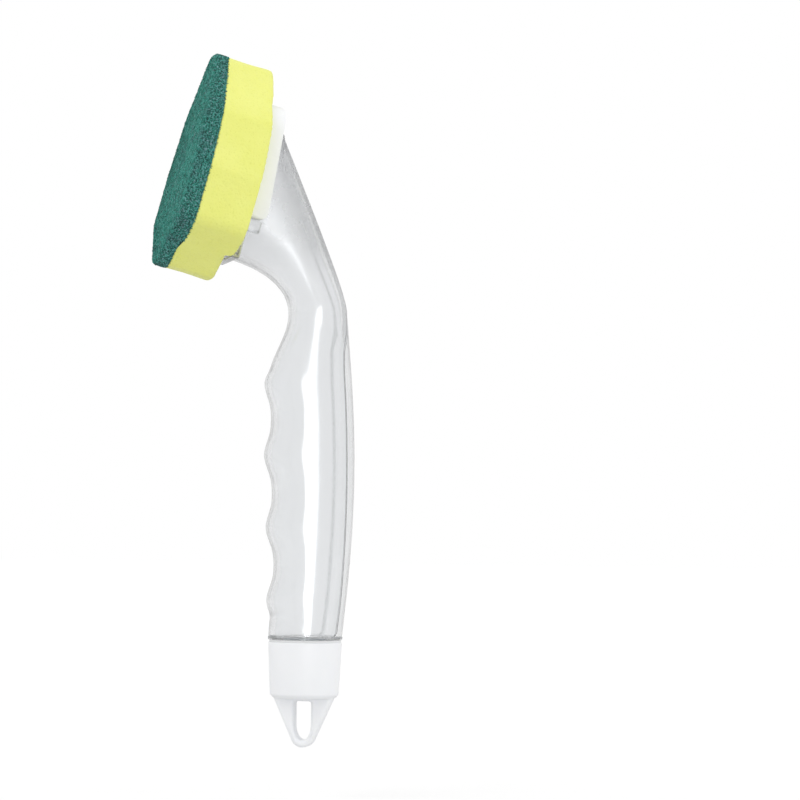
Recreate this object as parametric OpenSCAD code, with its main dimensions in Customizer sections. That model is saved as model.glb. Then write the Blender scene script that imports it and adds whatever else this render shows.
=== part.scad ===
// Soap-dispensing dish wand: clear hollow handle, screw cap with a hang loop, and a slide-on sponge head.
// The origin is the centre of the hang loop's slot, on the axis of the cap. +Z runs up the handle.
// The scrub face looks towards -Y, tilted up. Handle and sponge are the same on both sides of the X = 0 plane.

/* [Hang loop] */
// Width of the slot
slot_w = 6.4; // [3:0.2:7]
// Height of the slot
slot_h = 14; // [11:0.5:18]
// Material below the slot
loop_web = 2.6; // [2:0.1:4]
// Material between the slot and the cap's barrel
slot_roof = 1.1; // [0.6:0.1:2.5]
// Thickness of the loop, side to side
loop_t = 8; // [5:0.5:12]
// Width of the loop where it leaves the barrel
loop_root_w = 22.4; // [16:0.2:23]
// Turn of the loop out of the wand's middle plane when the cap is tight
loop_turn = 22; // [0:1:45]

/* [End cap] */
// Diameter of the cap at its open rim
cap_d = 26.6; // [26:0.1:30]
// Diameter of the cap at its closed end
cap_low_d = 24.8; // [24:0.1:28]
// Height of the cap's barrel
cap_h = 20.2; // [18:0.2:26]
// Thickness of the cap's closed end
cap_floor = 2.4; // [1.5:0.1:4]
// Chamfer round the cap's closed end
cap_chamfer = 1.2; // [0.4:0.1:2]
// Thickness of the sealing washer
washer_t = 0.8; // [0.6:0.1:2]
// How far the washer stays inside the cap's rim
washer_inset = 0.35; // [0.2:0.05:1]

/* [Filler spout] */
// Outside diameter of the spout, without its thread
spout_d = 19.2; // [18:0.2:20]
// Diameter of the filling hole
spout_bore = 16; // [13:0.5:16.5]
// Length of the spout below the handle's floor
spout_l = 12.7; // [11:0.1:15]
// Height of the cap's travel for one full turn
thread_lead = 8; // [7:0.5:10]
// Number of thread starts
thread_starts = 2; // [2:1:2]
// Height of a thread ridge
thread_h = 0.9; // [0.6:0.1:1.1]
// Gap between the cap's thread and the spout's
thread_gap = 0.3; // [0.2:0.05:0.4]
// Width of a thread ridge at its root
ridge_root_w = 1.6; // [1.2:0.1:1.6]
// Width of a thread ridge at its crest
ridge_crest_w = 1.0; // [0.6:0.1:1.1]
// Length of each ridge, in turns
ridge_turns = 0.8; // [0.5:0.05:0.85]

/* [Grip] */
// Diameter of the handle where it meets the cap
handle_d = 26.6; // [26:0.1:30]
// Width of the grip, side to side
grip_w = 25.8; // [23:0.2:30]
// Length of the handle from its floor to the throat
grip_l = 115.7; // [100:0.1:130]
// Thickness of the clear walls
shell_wall = 2; // [1.4:0.1:2.6]
// Thickness of the handle's floor disc
floor_t = 1.2; // [1:0.1:3]
// How far the floor disc stands out from the walls
floor_lip = 0.2; // [0.1:0.05:0.6]
// How far the back bows out
back_bulge = 3.6; // [1:0.2:6]
// How far the front swells towards the throat
front_swell = 2.1; // [0:0.1:4]
// How far the front draws in above the floor
front_pinch = 0.6; // [0:0.1:1.5]
// Distance between the crests that part the fingers
groove_pitch = 26.1; // [22:0.1:28]
// Depth of the finger grooves
groove_depth = 2.6; // [0:0.1:5]
// Height of the lowest crest above the floor
first_crest = 12.7; // [10:0.1:18]
// Number of crests
crests = 4; // [2:1:4]
// Half angle that the back cover spans on the grip
seam_grip = 48; // [35:1:60]
// Half angle that the back cover spans on the head
seam_head = 30; // [22:1:40]

/* [Throat] */
// Distance from the cap's axis to the throat's front
throat_front = 7.9; // [6:0.1:11]
// Distance from the cap's axis to the throat's back
throat_back = 13.1; // [11:0.1:15]
// Width of the throat, side to side
throat_w = 24; // [21:0.5:28]

/* [Head] */
// Tilt of the head's long axis away from the handle's
head_tilt = 15; // [8:1:22]
// Distance from the cap's axis forward to the foam's back, at its middle
head_reach = 26.6; // [24:0.2:32]
// Height of the foam's middle above the throat
head_rise = 49.7; // [46:0.1:54]
// Mouth of the head below the foam's middle
mouth_low = 29.8; // [27:0.2:32]
// Mouth of the head above the foam's middle
mouth_high = 21; // [18:0.2:24]
// Width of the head where it meets its mouth wall
mouth_w = 30; // [26:0.5:32]
// Thickness of the mouth wall and its flange
mouth_t = 2.7; // [2:0.1:3.5]
// How far the flange stands out on each side of the head
flange_out = 2.2; // [1.6:0.1:3]
// How far the flange stands out at the head's lower and upper ends
flange_ends = 1.2; // [0.8:0.1:2]
// Distance of the head's blunt upper corner behind the foam
tip_back = 10.6; // [9:0.2:13]
// Distance of that corner below the mouth's upper end
tip_drop = 3.4; // [2:0.1:5]
// Lean of the head's straight back from upright
back_lean = 23.2; // [18:0.2:28]
// Diameter of the outlet hole in the mouth wall
outlet_d = 12; // [9:0.5:14]
// Height of the stop ribs on the head's sides
stop_rib_h = 4.3; // [3:0.1:6]
// Gap between the foam and the head's lower lip
lip_gap = 0.2; // [0.1:0.05:0.5]
// How far the lower lip stands in from the flange's edges
lip_inset = 0.4; // [0.2:0.1:1]

/* [Outlet valve] */
// Thickness of the valve's inner flange
valve_flange_t = 1.2; // [0.8:0.1:2]
// How far the valve's inner flange overlaps the mouth wall
valve_flange_out = 2.5; // [1.5:0.1:3.5]
// Thickness of the valve's slit skin
valve_skin = 0.8; // [0.5:0.1:1.2]
// Width of the slits
valve_slit = 0.4; // [0.2:0.1:0.8]

/* [Sponge holder] */
// Thickness of the holder's base plate
base_t = 2; // [1.5:0.1:3]
// Height of the holder's side walls behind the foam
holder_h = 10.7; // [9:0.1:13]
// Thickness of the holder's walls
holder_wall = 1.9; // [1.4:0.1:2.6]
// Holder below the foam's middle
holder_low = 15.6; // [11:0.2:18]
// Thickness of the holder's closed upper end
holder_end = 4.2; // [4:0.1:8]
// Corner radius of the holder's upper end
holder_corner = 9; // [6:0.5:11]
// Radius of the side walls' back corners
holder_round = 2.8; // [1:0.1:4]
// Height of the holder at its upper end, where it is shallower
holder_top_h = 6.9; // [6.5:0.1:11]
// Gap between the holder and the head's flange
slide_gap = 0.3; // [0.2:0.05:0.5]
// Diameter of the soap hole in the base plate
soap_hole_d = 14; // [10:0.5:16]

/* [Sponge] */
// Length of the sponge
sponge_l = 79; // [72:0.5:90]
// Width of the sponge
sponge_w = 59; // [52:0.5:68]
// Thickness of the foam
foam_t = 17; // [12:0.5:24]
// Thickness of the scrub pad
pad_t = 4.5; // [3:0.25:8]
// Width of the blunt lower end
low_end_w = 10; // [6:0.5:16]
// Length of the lower chamfers
low_chamfer_l = 16; // [12:0.5:22]
// Length of the straight sides
side_l = 20; // [12:0.5:26]
// Width across the upper shoulders
shoulder_w = 49; // [44:0.5:51]
// Distance of the upper shoulders below the upper end
shoulder_drop = 22; // [18:0.5:26]
// Width of the upper end
top_end_w = 11; // [6:0.5:16]
// Corner radius of the sponge's outline
sponge_corner = 6; // [3:0.5:8]

/* [Hidden] */
$fn = 64;

// Heights, from the slot's centre up to the throat
cap_low_z = slot_h / 2 + slot_roof;
cap_top_z = cap_low_z + cap_h;
floor_low_z = cap_top_z + washer_t;
floor_top_z = floor_low_z + floor_t;
throat_z = floor_top_z + grip_l;
spout_low_z = floor_low_z - spout_l;

// Closure
spout_r = spout_d / 2;
cap_bore_r = spout_r + thread_h + thread_gap;
ridge_pitch = thread_lead / thread_starts;
ridge_low_z = spout_low_z + ridge_root_w;
ridge_sink = 0.4;
steps_per_turn = 24;

// Handle walls
handle_r = handle_d / 2;
grip_rings = 40;
fan_rings = 16;
front_steps = 24;
back_steps = 8;
sink = 0.8;
joint_share = 0.25;
groove_fade = 8;
round_power = 2;
grip_power = 2.2;
mouth_power = 2.8;
crest_sharpness = 0.15;
fan_corner_at = 0.86;
throat_dip_from = 0.8;
throat_dip = handle_r - front_pinch + front_swell - throat_front;

// Head, measured in its own frame: u along the sponge, v behind the foam
head_z = throat_z + head_rise;
mouth_v = base_t + slide_gap;
mouth_back_v = mouth_v + mouth_t;
flange_w = mouth_w + 2 * flange_out;
flange_corner = holder_corner - slide_gap;
tip_u = mouth_high - tip_drop;
plate_low = -mouth_low - flange_ends;
plate_high = mouth_high + flange_ends;
throat_rise = 10.4;
throat_run = 14.1;
throat_run_dip = 17;
back_rise = 4.5;
back_run = 57;
valve_gap = 0.1;

// Sponge holder
socket_high = plate_high + slide_gap;
holder_high = socket_high + holder_end;
holder_outer_w = flange_w + 2 * (slide_gap + holder_wall);
lip_v = mouth_back_v + slide_gap;

function smooth(t) = let (c = min(max(t, 0), 1)) c * c * (3 - 2 * c);
function mix(a, b, t) = a + (b - a) * t;
function bezier(a, b, c, d, t) =
    let (s = 1 - t) a * s * s * s + b * 3 * s * s * t + c * 3 * s * t * t + d * t * t * t;

// A point [y, z] given in the head's frame
function head_point(u, v) = [
    -head_reach + u * sin(head_tilt) + v * cos(head_tilt),
    head_z + u * cos(head_tilt) - v * sin(head_tilt)];

// Grip: how far the front and back stand from the cap's axis at the share g of the grip's length
function front_reach(g) = handle_r - front_pinch * smooth(g / 0.1)
    + front_swell * smooth((g - 0.1) / 0.6)
    - throat_dip * smooth((g - throat_dip_from) / (1 - throat_dip_from));
function back_reach(g) = mix(handle_r, throat_back, g) + back_bulge * sin(180 * g);
function grip_half_w(g) = mix(mix(handle_r, grip_w / 2, smooth(g / 0.15)), throat_w / 2, smooth((g - 0.7) / 0.3));

// Crests and finger grooves along the grip's front, faded out at both ends
function ripple(h) =
    let (turn = 360 * (h - first_crest) / groove_pitch,
         last_crest = first_crest + (crests - 1) * groove_pitch,
         shown = smooth((h - first_crest / 3) / (first_crest / 2)) * (1 - smooth((h - last_crest) / groove_fade)))
    shown * groove_depth / 2 * (cos(turn) + crest_sharpness * cos(2 * turn));

// A ring of the wall: [front point, back point, half width, roundness, seam angle, ripple]
function grip_ring(i) =
    let (g = i / grip_rings, z = mix(floor_top_z, throat_z, g))
    [[-front_reach(g), z], [back_reach(g), z], grip_half_w(g), mix(round_power, grip_power, smooth(g / 0.15)),
     mix(seam_grip, seam_head, smooth((g - 0.88) / 0.12)), ripple(g * grip_l)];

throat_f = [-throat_front, throat_z];
throat_b = [throat_back, throat_z];
mouth_f = head_point(-mouth_low, mouth_back_v);
tip = head_point(tip_u, tip_back);

function fan_front(t) = bezier(throat_f, throat_f + [0, throat_rise],
    mouth_f + throat_run * [cos(throat_run_dip), -sin(throat_run_dip)], mouth_f, t);
function fan_back(t) = t < fan_corner_at
    ? bezier(throat_b, throat_b + [0, back_rise], tip + back_run * [sin(back_lean), -cos(back_lean)], tip,
             t / fan_corner_at)
    : let (a = 90 * (t - fan_corner_at) / (1 - fan_corner_at))
      head_point(tip_u + tip_drop * sin(a), mouth_back_v + (tip_back - mouth_back_v) * cos(a));
function fan_ring(i) =
    let (t = i / fan_rings)
    [fan_front(t), fan_back(t), mix(throat_w, mouth_w, smooth(t)) / 2, mix(grip_power, mouth_power, smooth(t)),
     seam_head, 0];

wall_rings = concat([for (i = [0 : grip_rings]) grip_ring(i)], [for (i = [1 : fan_rings]) fan_ring(i)]);

// A point of a ring at the angle a from the back, drawn in by inset
function ring_point(r, a, inset) =
    let (span = r[1] - r[0], dir = span / norm(span), middle = (r[0] + r[1]) / 2, half = norm(span) / 2,
         c = cos(a), s = sin(a), power = 2 / r[3],
         deep = sign(c) * pow(abs(c), power) * (c > 0 ? half - inset : half + r[5] - inset),
         wide = sign(s) * pow(abs(s), power) * (r[2] - inset))
    [wide, middle[0] + dir[0] * deep, middle[1] + dir[1] * deep];

// The closed outline of one ring's wall, out along the outside and back along the inside
function wall_loop(r, from, to, steps) = concat(
    [for (j = [0 : steps]) ring_point(r, mix(from, to, j / steps), 0)],
    [for (j = [steps : -1 : 0]) ring_point(r, mix(from, to, j / steps), shell_wall)]);

// The outlines of the whole wall. The front one starts on the floor disc and the back one ends on the mouth wall.
function front_loops() = [for (r = wall_rings) wall_loop(r, r[4], 360 - r[4], front_steps)];
function back_loops() = [for (r = wall_rings) wall_loop(r, -r[4], r[4], back_steps)];

// The outline that carries on past b in a straight line from a, by the share of their distance
function past(a, b, share) = [for (j = [0 : len(a) - 1]) b[j] + (b[j] - a[j]) * share];
function into_mouth(loops) =
    let (n = len(loops)) [for (i = [0 : n - 1]) i < n - 1 ? loops[i] : past(loops[n - 2], loops[n - 1], joint_share)];
function into_floor(loops) =
    [for (i = [0 : len(loops) - 1]) i > 0 ? loops[i] : past(loops[1], loops[0], joint_share)];

// Skin over outlines that each run out along one side and back along the other
module skin(loops, steps) {
    n = len(loops[0]);
    last = (len(loops) - 1) * n;
    sides = [for (i = [0 : len(loops) - 2]) for (j = [0 : n - 1])
        let (a = i * n + j, b = i * n + (j + 1) % n, c = b + n, d = a + n)
        each j == n - 1 ? [[a, b, d], [b, c, d]] : [[a, b, c], [a, c, d]]];
    low = [for (j = [0 : steps - 1]) each [[j, n - 2 - j, j + 1], [j, n - 1 - j, n - 2 - j]]];
    high = [for (f = low) [last + f[0], last + f[2], last + f[1]]];
    polyhedron(points = [for (l = loops) each l], faces = concat(sides, low, high));
}

// A thread ridge: root at root_r, crest at crest_r, rising with the thread's lead
module ridge(root_r, crest_r, low_z, start) {
    steps = ceil(steps_per_turn * ridge_turns);
    outward = crest_r > root_r;
    profile = [[root_r, -ridge_root_w / 2], [crest_r, -ridge_crest_w / 2],
               [crest_r, ridge_crest_w / 2], [root_r, ridge_root_w / 2]];
    points = [for (i = [0 : steps]) let (turn = ridge_turns * i / steps, a = 360 * turn + start)
        for (p = profile) [p[0] * cos(a), p[0] * sin(a), low_z + p[1] + thread_lead * turn]];
    sides = [for (i = [0 : steps - 1]) for (j = [0 : 3])
        let (a = i * 4 + j, b = i * 4 + (j + 1) % 4) each [[a, b, b + 4], [a, b + 4, a + 4]]];
    last = steps * 4;
    faces = concat(sides, [[0, 3, 2], [0, 2, 1], [last, last + 1, last + 2], [last, last + 2, last + 3]]);
    polyhedron(points = points, faces = outward ? faces : [for (f = faces) [f[2], f[1], f[0]]]);
}

module ridges(root_r, crest_r, low_z) {
    for (k = [0 : thread_starts - 1])
        ridge(root_r, crest_r, low_z, 360 * k / thread_starts);
}

// Places children in the head's frame: X across, Y along the sponge, Z out of the scrub face
module at_head() {
    translate([0, -head_reach, head_z])
        rotate([90 - head_tilt, 0, 0])
            children();
}

// A plate standing in the head's frame between two distances behind the foam
module head_plate(from_v, to_v) {
    translate([0, 0, -to_v])
        linear_extrude(to_v - from_v)
            children();
}

// A plan with a square lower end and rounded upper corners
module round_top_plan(w, low, high, corner) {
    translate([-w / 2, low])
        square([w, high - corner - low]);
    translate([-w / 2 + corner, high - 2 * corner])
        square([w - 2 * corner, 2 * corner]);
    for (side = [-1, 1])
        translate([side * (w / 2 - corner), high - corner])
            circle(corner);
}

// The lip that fills the gap behind the foam, from the flange's lower end up to the holder
module lower_lip_plan() {
    translate([-flange_w / 2 + lip_inset, plate_low + lip_inset])
        square([flange_w - 2 * lip_inset, -holder_low - slide_gap - plate_low - lip_inset]);
}

// The holder seen from its side, with rounded corners at its back. X runs along the sponge.
module holder_side_plan() {
    slope = atan((holder_h - holder_top_h) / (holder_high + holder_low));
    low = -holder_low + holder_round;
    low_back = -holder_h + holder_round / cos(slope) + holder_round * tan(slope);
    high = holder_high - holder_round;
    high_back = low_back + (high - low) * tan(slope);
    polygon(concat([[holder_high, 0], [-holder_low, 0]],
        [for (i = [0 : 9]) let (a = 180 + i / 9 * (90 + slope))
            [low + holder_round * cos(a), low_back + holder_round * sin(a)]],
        [for (i = [0 : 9]) let (a = 270 + slope + i / 9 * (90 - slope))
            [high + holder_round * cos(a), high_back + holder_round * sin(a)]]));
}

module sponge_plan() {
    low = -sponge_l / 2;
    high = sponge_l / 2;
    right = [
        [low_end_w / 2, low],
        [sponge_w / 2, low + low_chamfer_l],
        [sponge_w / 2, low + low_chamfer_l + side_l],
        [shoulder_w / 2, high - shoulder_drop],
        [top_end_w / 2, high]];
    left = [for (i = [len(right) - 1 : -1 : 0]) [-right[i][0], right[i][1]]];
    offset(r = sponge_corner, $fn = 40)
        offset(delta = -sponge_corner)
            polygon(concat(right, left));
}

module front_shell() {
    color("#e4e8ea", 0.5)
        difference() {
            union() {
                skin(into_mouth(front_loops()), front_steps);
                at_head()
                    head_plate(mouth_v, mouth_back_v)
                        round_top_plan(flange_w, plate_low, plate_high, flange_corner);
                at_head()
                    head_plate(lip_gap, mouth_v + mouth_t / 2)
                        lower_lip_plan();
                at_head()
                    for (side = [-1, 1])
                        translate([side * (mouth_w / 2 - 0.3), -holder_low - slide_gap - stop_rib_h / 2,
                                   -(lip_v + stop_rib_h / 2)])
                            cube([1.8, stop_rib_h, stop_rib_h], center = true);
            }
            at_head()
                translate([0, 0, -mouth_back_v - sink])
                    cylinder(d = outlet_d, h = mouth_t + 2 * sink);
        }
}

module back_shell() {
    color("#dfe4e7", 0.5)
        difference() {
            union() {
                skin(into_floor(back_loops()), back_steps);
                translate([0, 0, floor_low_z])
                    cylinder(r = handle_r + floor_lip, h = floor_t);
                translate([0, 0, spout_low_z])
                    cylinder(r = spout_r, h = spout_l + floor_t / 2);
                ridges(spout_r - ridge_sink, spout_r + thread_h, ridge_low_z);
            }
            translate([0, 0, spout_low_z - sink])
                cylinder(d = spout_bore, h = spout_l + floor_t + 2 * sink);
        }
}

module outlet_valve() {
    body_r = outlet_d / 2 - valve_gap;
    flange_r = outlet_d / 2 + valve_flange_out;
    hollow_r = body_r - valve_skin;
    color("#f4f4f2")
        at_head()
            difference() {
                union() {
                    translate([0, 0, -mouth_back_v - valve_flange_t])
                        cylinder(r = flange_r, h = valve_flange_t);
                    translate([0, 0, -mouth_back_v - valve_flange_t / 2])
                        cylinder(r = body_r, h = mouth_t + valve_flange_t / 2);
                }
                translate([0, 0, -mouth_back_v - valve_flange_t - sink])
                    cylinder(r = hollow_r, h = mouth_t + valve_flange_t + sink - valve_skin);
                for (turn = [0, 90])
                    rotate([0, 0, turn])
                        translate([0, 0, -mouth_v])
                            cube([hollow_r * 1.2, valve_slit, 4 * valve_skin], center = true);
            }
}

module cap_washer() {
    color("#f2f3f3")
        translate([0, 0, cap_top_z])
            difference() {
                cylinder(r = cap_d / 2 - washer_inset, h = washer_t);
                translate([0, 0, -sink])
                    cylinder(r = cap_bore_r, h = washer_t + 2 * sink);
            }
}

// The loop's outline: straight flanks down to a round tip, with a slot that narrows below
module loop_plan() {
    tip_r = slot_w / 2 + 1;
    tip_z = -slot_h / 2 - loop_web + tip_r;
    root_z = cap_low_z + cap_floor / 2;
    lean = atan((loop_root_w / 2 - tip_r) / (root_z - tip_z));
    slot_turn_z = -slot_h / 10;
    slot_low = slot_h / 2 + slot_turn_z;
    slot_corner = 1;
    difference() {
        union() {
            polygon([[-loop_root_w / 2, root_z], [loop_root_w / 2, root_z],
                     [tip_r * cos(lean), tip_z - tip_r * sin(lean)],
                     [-tip_r * cos(lean), tip_z - tip_r * sin(lean)]]);
            translate([0, tip_z])
                circle(tip_r);
        }
        polygon(concat(
            [[slot_w / 2 - slot_corner, slot_h / 2], [-slot_w / 2 + slot_corner, slot_h / 2],
             [-slot_w / 2, slot_h / 2 - slot_corner]],
            [for (a = [180 : 15 : 360]) [slot_w / 2 * cos(a), slot_turn_z + slot_low * sin(a)]],
            [[slot_w / 2, slot_h / 2 - slot_corner]]));
    }
}

module end_cap() {
    color("#f0f2f3") {
        difference() {
            union() {
                rotate_extrude()
                    polygon([[0, cap_low_z], [cap_low_d / 2 - cap_chamfer, cap_low_z],
                             [cap_low_d / 2, cap_low_z + cap_chamfer], [cap_d / 2, cap_top_z], [0, cap_top_z]]);
                rotate([90, 0, 90 - loop_turn])
                    linear_extrude(loop_t, center = true)
                        loop_plan();
            }
            translate([0, 0, cap_low_z + cap_floor])
                cylinder(r = cap_bore_r, h = cap_h);
        }
        ridges(cap_bore_r + ridge_sink, cap_bore_r - thread_h, ridge_low_z + ridge_pitch / 2);
    }
}

module sponge_holder() {
    socket_w = flange_w + 2 * slide_gap;
    throat_gap_w = mouth_w + 2 * slide_gap;
    color("#eef1f4")
        at_head()
            difference() {
                intersection() {
                    head_plate(-sink, holder_h + sink)
                        round_top_plan(holder_outer_w, -holder_low - sink, holder_high,
                                       holder_corner + holder_wall);
                    rotate([90, 0, 90])
                        linear_extrude(holder_outer_w + 2 * sink, center = true)
                            holder_side_plan();
                }
                head_plate(base_t, lip_v)
                    round_top_plan(socket_w, -holder_low - sink, socket_high, holder_corner);
                head_plate(base_t, holder_h + sink)
                    round_top_plan(throat_gap_w, -holder_low - sink, socket_high, throat_gap_w / 2 - 1);
                translate([0, 0, -base_t - sink])
                    cylinder(d = soap_hole_d, h = base_t + 2 * sink);
            }
}

module foam_block() {
    color("#ebee7f")
        at_head()
            linear_extrude(foam_t)
                sponge_plan();
}

module scrub_pad() {
    color("#2f7f6b")
        at_head()
            translate([0, 0, foam_t])
                linear_extrude(pad_t)
                    sponge_plan();
}

front_shell();
back_shell();
outlet_valve();
cap_washer();
end_cap();
sponge_holder();
foam_block();
scrub_pad();
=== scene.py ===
# %% [markdown]
# # A soap-dispensing dish wand
# The real object is a clear hollow handle that holds dish soap, with a white screw cap and hang loop at its lower end
# and a white clip with foam and a green scrub web at its upper end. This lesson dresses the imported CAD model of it.
# Everything is in metres in the CAD's own frame: +Z runs up the handle, the scrub face looks towards -Y, and the
# handle and the sponge are the same on both sides of X = 0. The sizes below are in millimetres and are turned to
# metres once, when a mesh is made, so that they can be read beside a ruler.

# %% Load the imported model
from math import acos, atan, atan2, copysign, cos, degrees, hypot, pi, radians, sin, sqrt, tan

import bmesh
import bpy
import numpy as np
from mathutils import Euler, Matrix, Vector


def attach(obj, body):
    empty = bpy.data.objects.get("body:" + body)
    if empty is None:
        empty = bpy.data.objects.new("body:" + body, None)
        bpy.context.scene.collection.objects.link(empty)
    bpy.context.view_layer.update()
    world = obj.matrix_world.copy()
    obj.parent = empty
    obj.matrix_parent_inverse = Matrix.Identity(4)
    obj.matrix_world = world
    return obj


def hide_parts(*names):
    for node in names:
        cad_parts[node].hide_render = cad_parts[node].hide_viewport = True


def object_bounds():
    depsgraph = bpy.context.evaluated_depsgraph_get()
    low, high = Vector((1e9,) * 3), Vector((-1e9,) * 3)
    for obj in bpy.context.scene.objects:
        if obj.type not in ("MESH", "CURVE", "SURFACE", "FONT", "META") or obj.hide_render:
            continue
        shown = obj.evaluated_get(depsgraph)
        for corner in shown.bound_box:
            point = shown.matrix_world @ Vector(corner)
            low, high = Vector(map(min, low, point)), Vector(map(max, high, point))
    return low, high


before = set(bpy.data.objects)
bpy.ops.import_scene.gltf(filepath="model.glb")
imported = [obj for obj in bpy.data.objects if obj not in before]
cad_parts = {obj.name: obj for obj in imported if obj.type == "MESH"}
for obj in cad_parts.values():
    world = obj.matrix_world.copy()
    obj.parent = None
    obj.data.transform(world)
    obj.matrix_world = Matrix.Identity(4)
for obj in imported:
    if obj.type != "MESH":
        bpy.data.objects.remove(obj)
cad_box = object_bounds()
MM = 0.001
print("CAD box in mm:", [[round(v / MM, 1) for v in corner] for corner in cad_box])

# %% [markdown]
# ## Camera
# The photograph looks at the wand nearly from its side, a little from below, through a long lens. The camera stands
# 1.2 m away on that line. It's then turned, instead of shifted, until the wand stands left of the middle as in the
# photograph.

# %% Camera
PHOTO_PIXELS = 800
MM_PER_PIXEL = 0.3613
AZIMUTH, ELEVATION, LEAN = (radians(a) for a in (79, -2, 1))
SENSOR_MM = 36
DISTANCE = 1.2
WAND_MIDDLE = Vector((0, -0.008, 0.115))
ORIGIN_PIXEL = (303.7, 719.5)

toward_camera = Vector((sin(AZIMUTH) * cos(ELEVATION), -cos(AZIMUTH) * cos(ELEVATION),
                        sin(ELEVATION)))
camera_data = bpy.data.cameras.new("photo_camera")
camera_data.sensor_width = SENSOR_MM
camera_data.lens = SENSOR_MM / PHOTO_PIXELS * DISTANCE / (MM_PER_PIXEL * MM)
camera_data.clip_start, camera_data.clip_end = 0.05, 30
camera = bpy.data.objects.new("photo_camera", camera_data)
bpy.context.scene.collection.objects.link(camera)
bpy.context.scene.camera = camera

image_right = Vector((cos(AZIMUTH), sin(AZIMUTH), 0))
image_up = toward_camera.cross(image_right)
upright = Matrix((image_right, image_up, toward_camera)).transposed() @ Matrix.Rotation(LEAN, 3, "Z")
across, along = WAND_MIDDLE.dot(image_right) / MM / MM_PER_PIXEL, WAND_MIDDLE.dot(image_up) / MM / MM_PER_PIXEL
middle_x = ORIGIN_PIXEL[0] + across * cos(LEAN) + along * sin(LEAN)
middle_y = ORIGIN_PIXEL[1] - along * cos(LEAN) + across * sin(LEAN)
pixel_tan = SENSOR_MM / PHOTO_PIXELS / camera_data.lens
seen_at = Vector(((middle_x - PHOTO_PIXELS / 2) * pixel_tan, (PHOTO_PIXELS / 2 - middle_y) * pixel_tan, -1))
turn = seen_at.normalized().rotation_difference(Vector((0, 0, -1)))
camera.matrix_world = Matrix.LocRotScale(WAND_MIDDLE + toward_camera * DISTANCE,
                                         upright.to_quaternion() @ turn, None)
print(f"lens {camera_data.lens:.1f} mm, wand's middle at pixel {middle_x:.0f}, {middle_y:.0f}")

# %% [markdown]
# ## Colours and nodes
# Colours are written as the hex values that a picture shows. Blender's shaders add up light, so a value is turned to
# linear first. One function adds a node, sets it and links its inputs. A Value is a node's output that can be added or
# multiplied like a number.

# %% Helpers for colours and nodes
def linear(hex_colour):
    parts = [int(hex_colour[i:i + 2], 16) / 255 for i in (1, 3, 5)]
    return (*(c / 12.92 if c <= 0.04045 else ((c + 0.055) / 1.055) ** 2.4 for c in parts), 1)


def add_node(tree, kind, inputs=None, **settings):
    """Adds a node. An input is given by its name or number, and is a constant or another node's output."""
    node = tree.nodes.new(kind)
    for name, value in settings.items():
        setattr(node, name, value)
    for key, value in (inputs or {}).items():
        value = value.socket if isinstance(value, Value) else value
        if isinstance(value, bpy.types.NodeSocket):
            tree.links.new(value, node.inputs[key])
        else:
            node.inputs[key].default_value = value
    return node


class Value:
    """A node's output. Arithmetic on it adds the Math nodes that work out the result."""

    def __init__(self, tree, socket):
        self.tree, self.socket = tree, socket

    def math(self, operation, other=0.0):
        return new_value(self.tree, "ShaderNodeMath", 0, {0: self, 1: other}, operation=operation)


for sign, operation in (("add", "ADD"), ("sub", "SUBTRACT"), ("mul", "MULTIPLY"), ("truediv", "DIVIDE")):
    setattr(Value, f"__{sign}__", lambda self, other, operation=operation: self.math(operation, other))


def new_value(tree, kind, output, inputs=None, **settings):
    return Value(tree, add_node(tree, kind, inputs, **settings).outputs[output])


print("a mid grey, #808080, is", round(linear("#808080")[0], 3), "in linear light")

# %% [markdown]
# ## Helpers for materials
# Every material here needs the same few things: noise in patches of a known width, a range turned into another one, a
# blend of two colours, and a bump. Sizes are given in real millimetres, which keeps each material short to read.

# %% Helpers for materials
def is_ray(tree, kind):
    return new_value(tree, "ShaderNodeLightPath", f"Is {kind} Ray")


def new_material(name):
    """A material with an empty tree, and the place on the object in metres."""
    material = bpy.data.materials.new(name)
    material.use_nodes = True
    tree = material.node_tree
    tree.nodes.clear()
    return material, new_value(tree, "ShaderNodeTexCoord", "Object")


def noise(place, width, detail, roughness=0.5):
    """Noise from 0 to 1 in patches of the given width."""
    return new_value(place.tree, "ShaderNodeTexNoise", "Fac", {
        "Vector": place, "Scale": 1 / (width * MM), "Detail": detail, "Roughness": roughness})


def ranged(value, start, stop, low=0.0, high=1.0, shape="LINEAR"):
    """Turns start to stop into low to high, and holds the value there outside."""
    return new_value(value.tree, "ShaderNodeMapRange", "Result", {
        "Value": value, "From Min": start, "From Max": stop, "To Min": low, "To Max": high}, interpolation_type=shape)


def blended(factor, first, second):
    """Mixes two colours, each a hex value or another node's output."""
    first, second = (linear(colour) if isinstance(colour, str) else colour for colour in (first, second))
    return new_value(factor.tree, "ShaderNodeMix", 2, {"Factor": factor, 6: first, 7: second}, data_type="RGBA")


def bumped(height, strength, depth, **below):
    """A bump of the given depth, on top of another one where Normal is given."""
    return new_value(height.tree, "ShaderNodeBump", "Normal", {
        "Height": height, "Strength": strength, "Distance": depth * MM, **below})


def finished(material, shader):
    add_node(material.node_tree, "ShaderNodeOutputMaterial", {"Surface": shader})
    print(material.name, "has", len(material.node_tree.nodes), "nodes")


def principled(material, colour, roughness, **more):
    """Finishes a material with a Principled shader. A name's underscores stand for the socket's spaces."""
    inputs = {"Base Color": colour, "Roughness": roughness} | {k.replace("_", " "): v for k, v in more.items()}
    finished(material, new_value(material.node_tree, "ShaderNodeBsdfPrincipled", "BSDF", inputs))


print("patches of 6 mm have a noise scale of", round(1 / (6 * MM)), "per metre")
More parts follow.
